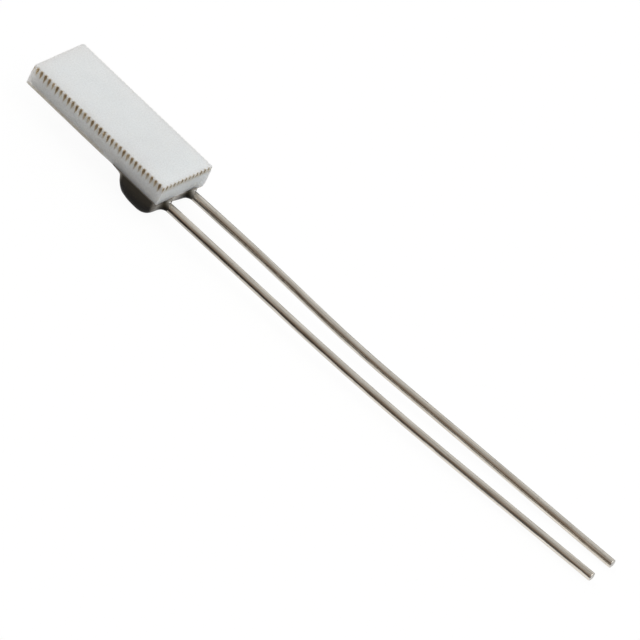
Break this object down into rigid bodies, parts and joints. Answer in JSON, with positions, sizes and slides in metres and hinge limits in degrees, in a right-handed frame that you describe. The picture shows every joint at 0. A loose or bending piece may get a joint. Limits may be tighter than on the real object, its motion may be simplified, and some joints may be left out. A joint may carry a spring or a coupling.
{
  "type": "resistance temperature detector",
  "caption": "Thin-film resistance temperature detector: a small bare ceramic chip with a dark fixing drop under one end and long, slightly bent wire leads.",
  "frame": {"origin": "centre of the bare ceramic face, which is bonded or pressed to what is measured", "axes": "+X along the chip to the lead tips, +Y across the chip to the side that the leads bend towards, +Z out of the bare face"},
  "size_m": [0.0201, 0.0029, 0.0013],
  "materials": {
    "alumina": "fired white alumina, matte, with brown laser-burnt notches along its snapped edges",
    "platinum_film": "evaporated platinum, grey and smooth",
    "pad_metal": "printed and fired metal, satin",
    "cover_glass": "thin fired glass over the film, smooth and slightly milky",
    "lead_wire": "drawn platinum-clad nickel wire, warm silver",
    "drop_glaze": "fired glass-ceramic drop, near black, satin"
  },
  "bodies": {
    "root": {"substrate": "alumina", "platinum_track": "platinum_film", "contact_pad_near": "pad_metal", "contact_pad_far": "pad_metal", "passivation_glass": "cover_glass", "lead_near": "lead_wire", "lead_far": "lead_wire", "fixing_drop": "drop_glaze"}
  },
  "joints": []
}
